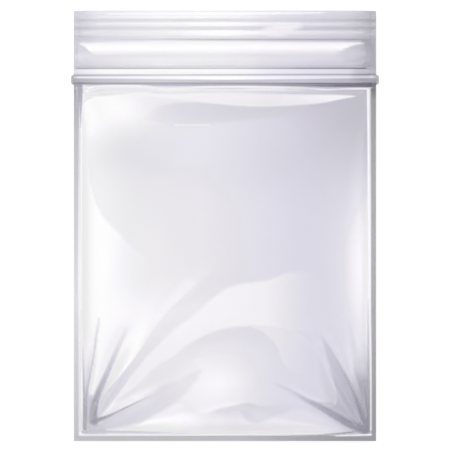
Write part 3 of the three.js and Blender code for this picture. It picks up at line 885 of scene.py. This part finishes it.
# Metres and watts per square metre and steradian. tilt is from straight up, and turn is round the
# bag from +X towards +Y, in degrees.
CAMERA_LENS = 200
CAMERA_SENSOR = 36
NEAREST_SEEN = 0.01
FURTHEST_SEEN = 10
VIEW_SIDE = PHOTO_SIDE * MM_PER_PIXEL * METRES
VIEW_MIDDLE_Y = (MIDDLE_V - PHOTO_SIDE / 2) * MM_PER_PIXEL * METRES
FLOOR_SIDE = 4
FLOOR_LEVEL = -0.00005
FLOOR_SHADE = 0.22
FLOOR_GLOW = 0.86
ROOM_LIGHT = 0.665
MATT_DISTANCE = 1
GLOSS_DISTANCE = 0.9
MATT_LAMPS = [
    {"name": "key", "tilt": 38, "turn": 128, "size": (0.5, 0.5), "radiance": 3.27},
    {"name": "fill", "tilt": 60, "turn": -45, "size": (0.6, 0.6), "radiance": 2.1},
]
GLOSS_LAMPS = [
    {"name": "top_box", "tilt": 23, "turn": 90, "size": (0.8, 0.5), "radiance": 1.8},
    {"name": "left_box", "tilt": 50, "turn": 180, "size": (0.8, 0.75), "radiance": 2},
    {"name": "right_box", "tilt": 58, "turn": -4, "size": (0.5, 0.6), "radiance": 2.6},
    {"name": "low_box", "tilt": 16, "turn": -90, "size": (0.5, 0.3), "radiance": 1.2},
    {"name": "foot_box", "tilt": 62, "turn": -90, "size": (0.7, 0.5), "radiance": 2.5},
]
LAMPS = [{**lamp, "distance": MATT_DISTANCE, "gloss": False} for lamp in MATT_LAMPS]
LAMPS += [{**lamp, "distance": GLOSS_DISTANCE, "gloss": True} for lamp in GLOSS_LAMPS]

# How much light shows through the front panel, where it is cloudy and how much more where it is
# clear, as measured in this scene. Then how dark and how pale its colour may be, how cloudy it is,
# and what its gloss adds.
BEHIND_FILM = (0.61, 0.16)
BEHIND_POUCH = (0.53, 0.25)
BEHIND_STRIP = (0.06, 0.48)
USUAL_CLOUD = 0.6
BEHIND_HUE = np.array([0.99, 0.98, 1.03])
DARKEST = 0.04
DARK_TINT = 0.35
PALEST = 0.98
CLEAREST = 0.5
CLEAREST_WELD = 0.85
CLOUDIEST = 0.99
GLOSS_LIGHT = 0.015
HUE_STEPS = (-0.2, -0.4, 0.6)
HEADER_LEVEL = 0.82
BACK_TINT = (0.60, 0.59, 0.65)
BACK_CLOUD = 0.35


def film_finish(light, violet, level, behind, clearest):
    """The colour and the cloudiness at which this scene shows the film as the painted tones say, light and
    shade included.
    """
    shown = np.stack([linear(light + step * violet) for step in HUE_STEPS], -1)
    mean = shown.mean(-1)
    usual = behind[0] + behind[1] * (1 - USUAL_CLOUD)
    darker = (usual - mean) / (usual - DARK_TINT * level)
    paler = (mean - usual) / np.maximum(PALEST * level - usual, DARKEST)
    cloud_and_painted_light = np.clip(np.maximum(darker, np.minimum(paler, CLOUDIEST)), clearest, 1)
    through = (1 - cloud_and_painted_light) * (behind[0] + behind[1] * (1 - cloud_and_painted_light)) + GLOSS_LIGHT * cloud_and_painted_light
    # Painted counter-shade: dividing by the level makes the colour paler where this scene's lamps light the
    # film less.
    tint_and_painted_light = (shown - through[:, None] * BEHIND_HUE) / (cloud_and_painted_light * level)[:, None]
    return np.clip(tint_and_painted_light, DARKEST, PALEST), cloud_and_painted_light


def light_level(height_at, x, y):
    """How brightly the room and the matt lamps light each point of a white surface."""
    across, along = slopes(height_at, x, y)
    upright = 1 / np.sqrt(1 + across**2 + along**2)
    level = ROOM_LIGHT * (1 + upright) / 2 + FLOOR_SHADE * (1 - upright) / 2
    for lamp in LAMPS:
        if not lamp["gloss"]:
            way = lamp_way(lamp)
            facing = np.maximum(0, (way.z - across * way.x - along * way.y) * upright)
            spread_over = math.pi * lamp["distance"] ** 2
            level = level + facing * lamp["radiance"] * math.prod(lamp["size"]) / spread_over
    return level


def front_finish(x, y):
    # How brightly the lamps light each point; the painted colour is divided by it, with no less than
    # HEADER_LEVEL above the pouch.
    level = light_level(lambda a, b: front_rise(a, b) + RIB_HEIGHT * rib_share(b), x, y)
    level = np.where(y > POUCH_TOP, np.maximum(level, HEADER_LEVEL), level)
    over_strip = (y > POUCH_TOP - RAMP_LENGTH / 2) & (y < FLANGE_TOP + RAMP_LENGTH / 2)
    from_welds = np.minimum(*inside_distances(x, y)[:2])
    over_pouch = (y < POUCH_TOP) & (from_welds > 0)
    behind = [
        np.select([over_strip, over_pouch], [strip, pouch], film)
        for strip, pouch, film in zip(BEHIND_STRIP, BEHIND_POUCH, BEHIND_FILM)
    ]
    welded = np.minimum(from_welds, TOP_EDGE - LIP_EDGE - y) < 0
    return film_finish(*front_tones(x, y), level, behind, np.where(welded, CLEAREST_WELD, CLEAREST))


def back_finish(x, y):
    return np.tile(BACK_TINT, (len(x), 1)), np.full(len(x), BACK_CLOUD)


class Nodes:
    """Adds nodes to a material, the world or a lamp, and links them."""

    def __init__(self, owner):
        owner.use_nodes = True
        self.tree = owner.node_tree
        self.tree.nodes.clear()

    def add(self, kind, **settings):
        node = self.tree.nodes.new(kind)
        for name, value in settings.items():
            setattr(node, name, value)
        return node

    def link(self, source, target):
        self.tree.links.new(source, target)

    def maths(self, operation, *values, clamp=False):
        node = self.add("ShaderNodeMath", operation=operation, use_clamp=clamp)
        for socket, value in zip(node.inputs, values):
            if isinstance(value, (int, float)):
                socket.default_value = value
            else:
                self.link(value, socket)
        return node.outputs[0]

    def noise(self, scale, detail=2, stretch=(1, 1, 1)):
        place = self.add("ShaderNodeTexCoord")
        mapping = self.add("ShaderNodeMapping")
        mapping.inputs["Scale"].default_value = stretch
        noise = self.add("ShaderNodeTexNoise")
        noise.inputs["Scale"].default_value = scale
        noise.inputs["Detail"].default_value = detail
        self.link(place.outputs["Object"], mapping.inputs["Vector"])
        self.link(mapping.outputs["Vector"], noise.inputs["Vector"])
        return noise.outputs["Fac"]

    def multiplied(self, colour, shade):
        mix = self.add("ShaderNodeMix", data_type="RGBA", blend_type="MULTIPLY")
        mix.inputs["Factor"].default_value = 1
        self.link(colour, mix.inputs["A"])
        self.link(shade, mix.inputs["B"])
        return mix.outputs["Result"]

    def show(self, result, kind="Material"):
        output = self.add("ShaderNodeOutput" + kind)
        self.link(result, output.inputs["Surface"])


# Plastic: faint streaks in the film's colour, its uneven gloss and ripples, and how much cloudier it
# is edge on. Ripples are in metres.
PLASTIC_IOR = 1.51
CLEAR_LAYERS = 32
STREAKS = {"scale": 60, "detail": 3, "stretch": (1, 0.35, 1)}
STREAK_RANGE = 0.03
STREAK_FLOOR = 0.985
EDGE_BLEND = 0.35
EDGE_CLOUD = 0.5
INSIDE_ALPHA = 0.03
INSIDE_ROUGHNESS = 0.2
FRONT_ROUGHNESS = 0.1
BACK_ROUGHNESS = 0.12
GLOSS_SCALE = 90
GLOSS_RANGE = 0.06
RIPPLES = {"scale": 130, "stretch": (1, 0.5, 1)}
RIPPLE_STRENGTH = 0.06
RIPPLE_HEIGHT = 0.0004


def clear_film(name, roughness, outer=True):
    """Glossy film: its colour and cloudiness, which on the front panel hold painted light and shade, come
    from the piece, with faint streaks and ripples.
    """
    material = bpy.data.materials.new(name)
    nodes = Nodes(material)
    shader = nodes.add("ShaderNodeBsdfPrincipled")
    nodes.show(shader.outputs["BSDF"])
    tint_and_painted_light = nodes.add("ShaderNodeAttribute", attribute_name="tint_and_painted_light")
    shade = nodes.maths("MULTIPLY_ADD", nodes.noise(**STREAKS), STREAK_RANGE, STREAK_FLOOR)
    nodes.link(nodes.multiplied(tint_and_painted_light.outputs["Color"], shade), shader.inputs["Base Color"])
    if outer:
        cloud_and_painted_light = nodes.add("ShaderNodeAttribute", attribute_name="cloud_and_painted_light")
        facing = nodes.add("ShaderNodeLayerWeight")
        facing.inputs["Blend"].default_value = EDGE_BLEND
        edge = nodes.maths("MULTIPLY", facing.outputs["Facing"], EDGE_CLOUD)
        alpha = nodes.maths("ADD", cloud_and_painted_light.outputs["Fac"], edge, clamp=True)
        nodes.link(alpha, shader.inputs["Alpha"])
    else:
        shader.inputs["Alpha"].default_value = INSIDE_ALPHA
    gloss = nodes.maths("MULTIPLY_ADD", nodes.noise(GLOSS_SCALE), GLOSS_RANGE, roughness)
    nodes.link(gloss, shader.inputs["Roughness"])
    ripples = nodes.add("ShaderNodeBump")
    ripples.inputs["Strength"].default_value = RIPPLE_STRENGTH
    ripples.inputs["Distance"].default_value = RIPPLE_HEIGHT
    nodes.link(nodes.noise(**RIPPLES), ripples.inputs["Height"])
    nodes.link(ripples.outputs["Normal"], shader.inputs["Normal"])
    shader.inputs["IOR"].default_value = PLASTIC_IOR
    return material


# Zip strips: fine lines along the extrusion, between two greys, and darker crushed ends. Crushing
# starts at a share of the way to the edge of the film.
LINES = {"scale": 400, "detail": 3, "stretch": (0.03, 1, 1)}
LINE_GREYS = [(0.66, 0.66, 0.69, 1), (0.78, 0.78, 0.81, 1)]
LINE_GLOSS_RANGE = 0.1
STRIP_ROUGHNESS = 0.2
STRIP_ALPHA = 0.8
CRUSHED_SHADE = 0.8
CRUSH_START = 0.99


def strip_plastic(name):
    """Cloudier extruded plastic with faint lines along the extrusion."""
    material = bpy.data.materials.new(name)
    nodes = Nodes(material)
    shader = nodes.add("ShaderNodeBsdfPrincipled")
    nodes.show(shader.outputs["BSDF"])
    lines = nodes.noise(**LINES)
    ramp = nodes.add("ShaderNodeValToRGB")
    for element, grey in zip(ramp.color_ramp.elements, LINE_GREYS):
        element.color = grey
    nodes.link(lines, ramp.inputs["Fac"])
    place = nodes.add("ShaderNodeTexCoord")
    split = nodes.add("ShaderNodeSeparateXYZ")
    nodes.link(place.outputs["Object"], split.inputs["Vector"])
    crushed = nodes.add("ShaderNodeMapRange")
    edge = HALF_WIDTH * METRES
    ends = {"From Min": CRUSH_START * edge, "From Max": edge, "To Min": 1, "To Max": CRUSHED_SHADE}
    for end, value in ends.items():
        crushed.inputs[end].default_value = value
    nodes.link(nodes.maths("ABSOLUTE", split.outputs["X"]), crushed.inputs["Value"])
    colour = nodes.multiplied(ramp.outputs["Color"], crushed.outputs["Result"])
    nodes.link(colour, shader.inputs["Base Color"])
    gloss = nodes.maths("MULTIPLY_ADD", lines, LINE_GLOSS_RANGE, STRIP_ROUGHNESS)
    nodes.link(gloss, shader.inputs["Roughness"])
    shader.inputs["Alpha"].default_value = STRIP_ALPHA
    shader.inputs["IOR"].default_value = PLASTIC_IOR
    return material


def seen_as_white(nodes, strength):
    """A strength of light that only camera, glossy and transmission rays meet."""
    path = nodes.add("ShaderNodeLightPath")
    seen = nodes.maths("MAXIMUM", path.outputs["Is Camera Ray"], path.outputs["Is Glossy Ray"])
    seen = nodes.maths("MAXIMUM", seen, path.outputs["Is Transmission Ray"])
    return nodes.maths("MULTIPLY", seen, strength)


def make_floor():
    material = bpy.data.materials.new("floor")
    nodes = Nodes(material)
    matt = nodes.add("ShaderNodeBsdfDiffuse")
    matt.inputs["Color"].default_value = (FLOOR_SHADE, FLOOR_SHADE, FLOOR_SHADE, 1)
    emission = nodes.add("ShaderNodeEmission")
    nodes.link(seen_as_white(nodes, FLOOR_GLOW), emission.inputs["Strength"])
    both = nodes.add("ShaderNodeAddShader")
    nodes.link(matt.outputs["BSDF"], both.inputs[0])
    nodes.link(emission.outputs["Emission"], both.inputs[1])
    nodes.show(both.outputs["Shader"])
    mesh = bpy.data.meshes.new("floor")
    reach = FLOOR_SIDE / 2
    corners = [(x * reach, y * reach, FLOOR_LEVEL) for x, y in ((-1, -1), (1, -1), (1, 1), (-1, 1))]
    mesh.from_pydata(corners, [], [(0, 1, 2, 3)])
    mesh.materials.append(material)
    floor = placed_object("floor", mesh)


def make_world():
    world = bpy.data.worlds.new("studio")
    bpy.context.scene.world = world
    nodes = Nodes(world)
    background = nodes.add("ShaderNodeBackground")
    background.inputs["Color"].default_value = (1, 1, 1, 1)
    seen = seen_as_white(nodes, 1 - ROOM_LIGHT)
    nodes.link(nodes.maths("ADD", seen, ROOM_LIGHT), background.inputs["Strength"])
    nodes.show(background.outputs["Background"], "World")


def make_camera():
    camera = placed_object("camera", bpy.data.cameras.new("camera"))
    camera.data.lens = CAMERA_LENS
    camera.data.sensor_width = CAMERA_SENSOR
    height = VIEW_SIDE * CAMERA_LENS / CAMERA_SENSOR
    camera.location = (0, VIEW_MIDDLE_Y, height + WELD_LEVEL * METRES)
    camera.data.clip_start = height * NEAREST_SEEN
    camera.data.clip_end = height * FURTHEST_SEEN
    bpy.context.scene.camera = camera


def lamp_way(lamp):
    """The direction from the bag to a lamp."""
    tilt, turn = math.radians(lamp["tilt"]), math.radians(lamp["turn"])
    return Vector((math.sin(tilt) * math.cos(turn), math.sin(tilt) * math.sin(turn), math.cos(tilt)))


def fade_to_edge(light):
    """Makes a lamp brightest in its middle, as a soft box is."""
    nodes = Nodes(light)
    place = nodes.add("ShaderNodeNewGeometry")
    off = nodes.add("ShaderNodeVectorMath", operation="DISTANCE")
    off.inputs[1].default_value = (0.5, 0.5, 0)
    nodes.link(place.outputs["Parametric"], off.inputs[0])
    share = nodes.maths("MULTIPLY", off.outputs["Value"], 2)
    share = nodes.maths("SUBTRACT", 1, nodes.maths("POWER", share, 2), clamp=True)
    emission = nodes.add("ShaderNodeEmission")
    nodes.link(share, emission.inputs["Strength"])
    nodes.show(emission.outputs["Emission"], "Light")


def make_lamp(lamp):
    """A soft lamp that points at the bag. Its size is across and up as seen from the bag."""
    way = lamp_way(lamp)
    light = bpy.data.lights.new(lamp["name"], "AREA")
    light.shape = "RECTANGLE"
    light.size, light.size_y = lamp["size"]
    light.energy = lamp["radiance"] * math.pi * light.size * light.size_y
    if lamp["gloss"]:
        fade_to_edge(light)
    lit = placed_object(lamp["name"], light)
    lit.location = way * lamp["distance"]
    lit.rotation_euler = way.to_track_quat("Z", "Y").to_euler()
    lit.visible_camera = False
    lit.visible_glossy = lamp["gloss"]
    lit.visible_diffuse = not lamp["gloss"]


def film_materials(name, roughness):
    """What a panel looks like outside and inside."""
    outer = clear_film(name, roughness)
    return [outer, clear_film(name + "_inside", INSIDE_ROUGHNESS, outer=False)]


def make_films():
    films = film_materials("front_film", FRONT_ROUGHNESS)
    front = film_panel("front_panel", front_layers, FRONT_BLOCKS, 1, front_finish, films)
    films = film_materials("back_film", BACK_ROUGHNESS)
    back = film_panel("back_panel", back_layers, BACK_BLOCKS, -1, back_finish, films)
    for piece, node, rests_on in ((front, "front_film", "groove_strip"), (back, "back_film", "rib_strip")):
        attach(piece, "root")
        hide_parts(node)


def make_strips():
    plastic = strip_plastic("zip_strip")
    for node in ("groove_strip", "rib_strip"):
        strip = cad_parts[node]
        strip.data.materials.clear()
        strip.data.materials.append(plastic)


make_camera()
make_world()
make_floor()
for lamp in LAMPS:
    make_lamp(lamp)
make_films()
make_strips()
bpy.context.scene.view_settings.view_transform = "Standard"
bpy.context.scene.cycles.transparent_max_bounces = CLEAR_LAYERS
